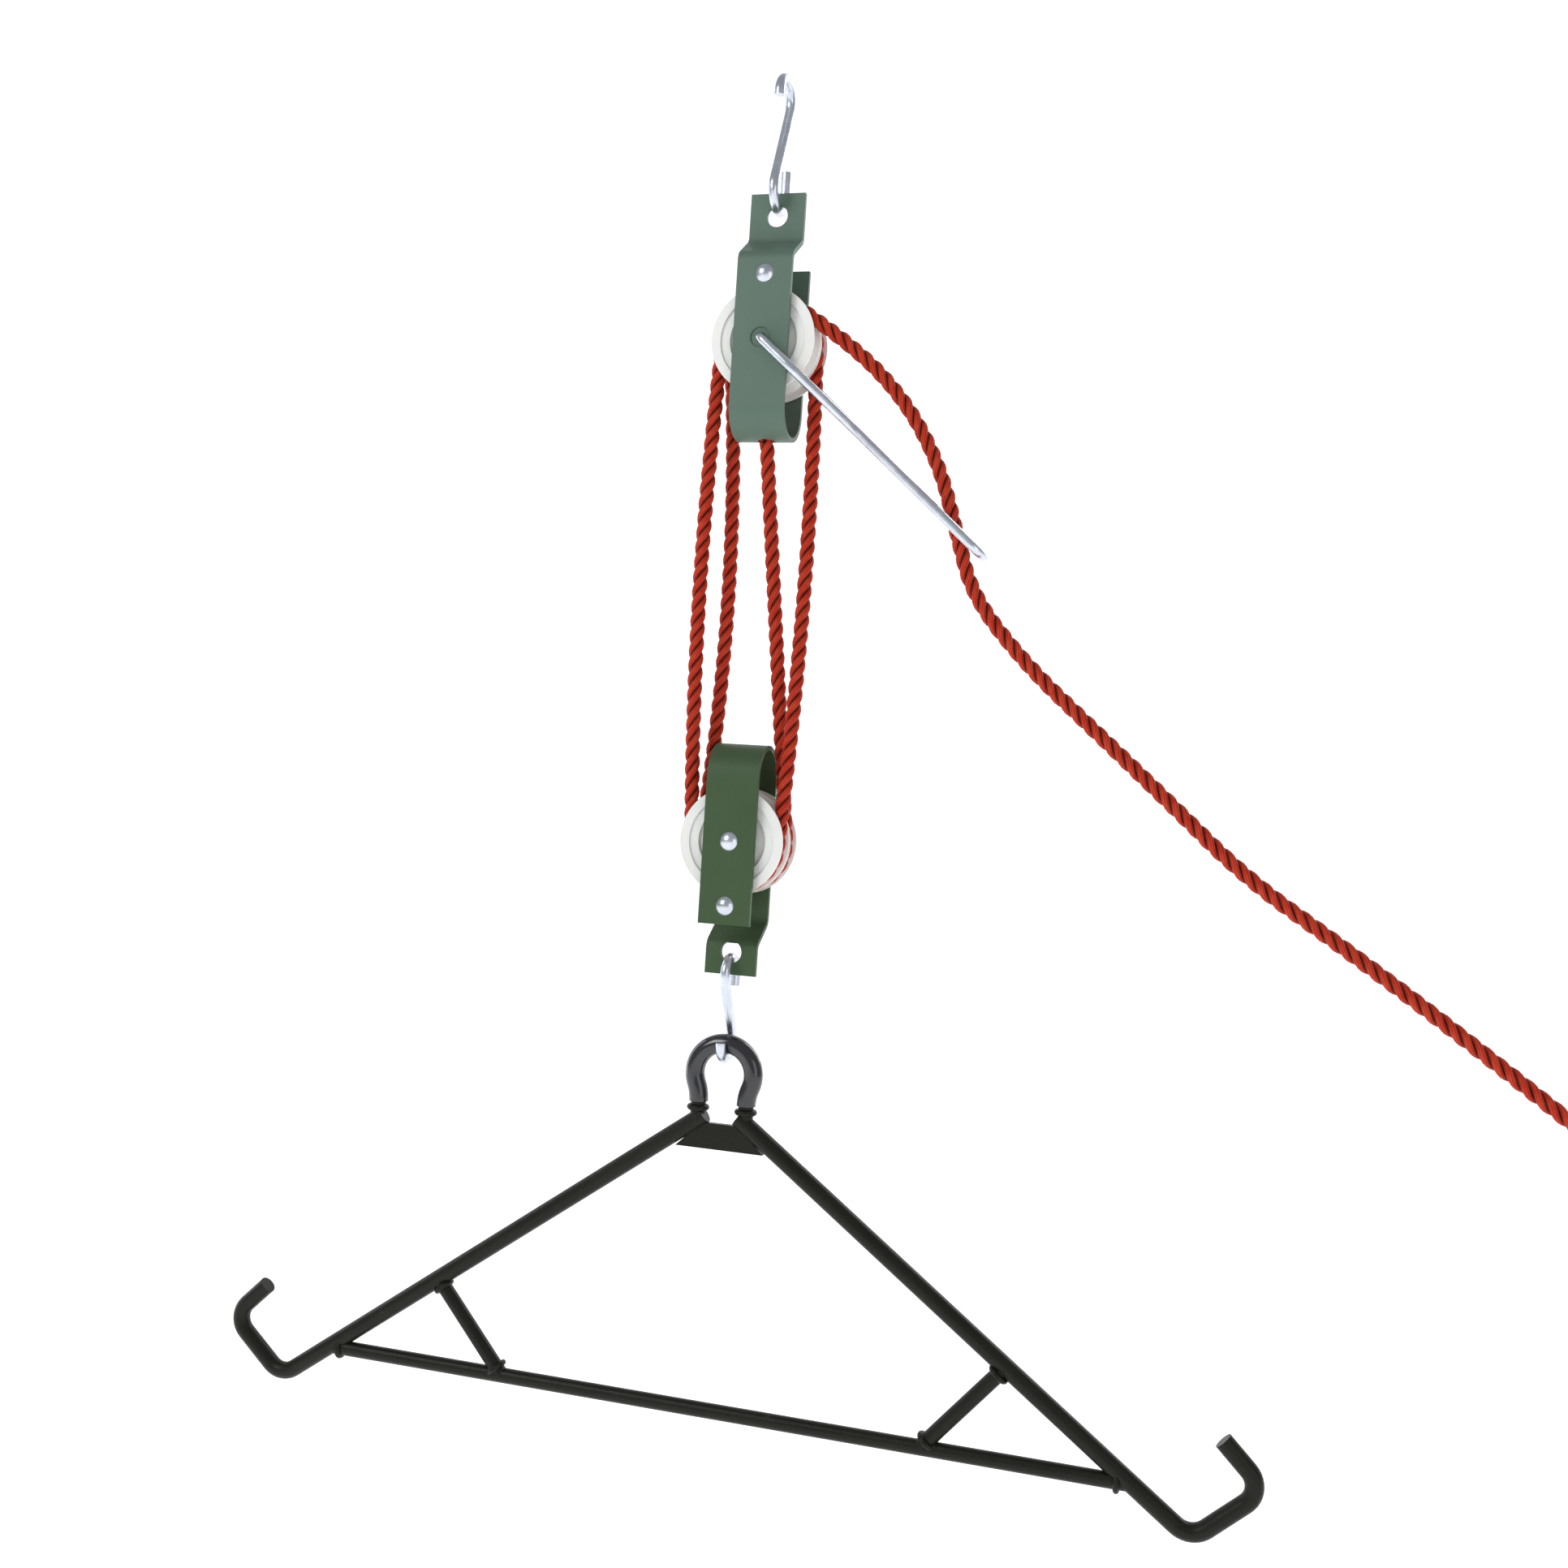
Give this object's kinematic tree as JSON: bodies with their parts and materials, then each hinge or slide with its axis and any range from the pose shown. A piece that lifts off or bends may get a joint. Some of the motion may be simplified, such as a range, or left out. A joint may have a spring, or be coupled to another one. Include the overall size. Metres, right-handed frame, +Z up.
{
  "type": "rope hoist with gambrel",
  "caption": "Hanging rope hoist: S-hook, upper block with rope bail, lower block, and a hooked triangular gambrel frame.",
  "frame": {"origin": "the upper hook's bearing point, the inside top of its upper bend", "axes": "+Z up, +X along the gambrel to the hauling line's side, front at -Y"},
  "size_m": [0.8433, 0.057, 0.8572],
  "materials": {
    "zinc": "bright zinc plate, faintly blue",
    "upper_paint": "grey-green powder coat, satin",
    "lower_paint": "olive powder coat, satin",
    "nylon": "moulded nylon, ivory white",
    "rope": "three-strand twisted polypropylene, red-orange",
    "vinyl": "dipped vinyl, gloss black",
    "frame_paint": "satin dark brown paint"
  },
  "bodies": {
    "hanger": {"upper_s_hook": "zinc"},
    "upper_block": {"upper_strap": "upper_paint", "upper_axle": "upper_paint", "upper_washers": "zinc", "upper_spacer_rivet": "zinc", "upper_spacer_tube": "zinc", "upper_rear_wrap": "rope", "upper_front_wrap": "rope", "fall_1": "rope", "fall_2": "rope", "fall_3": "rope", "fall_4": "rope", "dead_end_knot": "rope", "hauling_line": "rope", "end_knot": "rope"},
    "upper_front_wheel": {"upper_front_sheave": "nylon"},
    "upper_rear_wheel": {"upper_rear_sheave": "nylon"},
    "rope_bail": {"bail": "zinc"},
    "lower_block": {"lower_strap": "lower_paint", "lower_axle_rivet": "zinc", "lower_axle_tube": "zinc", "lower_washers": "zinc", "lower_spacer_rivet": "zinc", "lower_spacer_tube": "zinc", "lower_rear_wrap": "rope", "lower_front_wrap": "rope"},
    "lower_front_wheel": {"lower_front_sheave": "nylon"},
    "lower_rear_wheel": {"lower_rear_sheave": "nylon"},
    "lower_hook": {"lower_s_hook": "zinc"},
    "gambrel_frame": {"eye_rod": "frame_paint", "eye_sleeve": "vinyl", "left_arm": "frame_paint", "right_arm": "frame_paint", "crossbar": "frame_paint", "left_brace": "frame_paint", "right_brace": "frame_paint", "gusset_plate": "frame_paint", "weld_beads": "frame_paint"}
  },
  "joints": [
    {"name": "upper_block_swing", "type": "hinge", "parent": "hanger", "child": "upper_block", "pos_m": [0, 0, -0.07858], "axis": [0, 1, 0], "range_deg": [-12, 12]},
    {"name": "hoist_lift", "type": "slide", "parent": "upper_block", "child": "lower_block", "axis": [0, 0, 1], "range_m": [0, 0.12], "deforming": ["fall_1", "fall_2", "fall_3", "fall_4"]},
    {"name": "upper_front_sheave_spin", "type": "hinge", "parent": "upper_block", "child": "upper_front_wheel", "pos_m": [0, -0.0082, -0.162], "axis": [0, 1, 0], "continuous": true},
    {"name": "upper_rear_sheave_spin", "type": "hinge", "parent": "upper_block", "child": "upper_rear_wheel", "pos_m": [0, 0.0082, -0.162], "axis": [0, 1, 0], "continuous": true},
    {"name": "lower_front_sheave_spin", "type": "hinge", "parent": "lower_block", "child": "lower_front_wheel", "pos_m": [0, -0.0082, -0.47], "axis": [0, 1, 0], "continuous": true},
    {"name": "lower_rear_sheave_spin", "type": "hinge", "parent": "lower_block", "child": "lower_rear_wheel", "pos_m": [0, 0.0082, -0.47], "axis": [0, 1, 0], "continuous": true},
    {"name": "bail_swing", "type": "hinge", "parent": "upper_block", "child": "rope_bail", "pos_m": [0, 0, -0.162], "axis": [0, -1, 0], "range_deg": [0, 12]},
    {"name": "lower_hook_rock", "type": "hinge", "parent": "lower_block", "child": "lower_hook", "pos_m": [0, 0, -0.55263], "axis": [1, 0, 0], "range_deg": [-12, 12]},
    {"name": "gambrel_tilt", "type": "hinge", "parent": "lower_hook", "child": "gambrel_frame", "pos_m": [0, 0, -0.60533], "axis": [0, 1, 0], "range_deg": [-20, 20]}
  ],
  "couplings": [
    {"joint": "lower_rear_sheave_spin", "follows": "hoist_lift", "rad_per_m": 35.587},
    {"joint": "upper_rear_sheave_spin", "follows": "hoist_lift", "rad_per_m": 71.174},
    {"joint": "lower_front_sheave_spin", "follows": "hoist_lift", "rad_per_m": 106.76},
    {"joint": "upper_front_sheave_spin", "follows": "hoist_lift", "rad_per_m": 142.35}
  ]
}
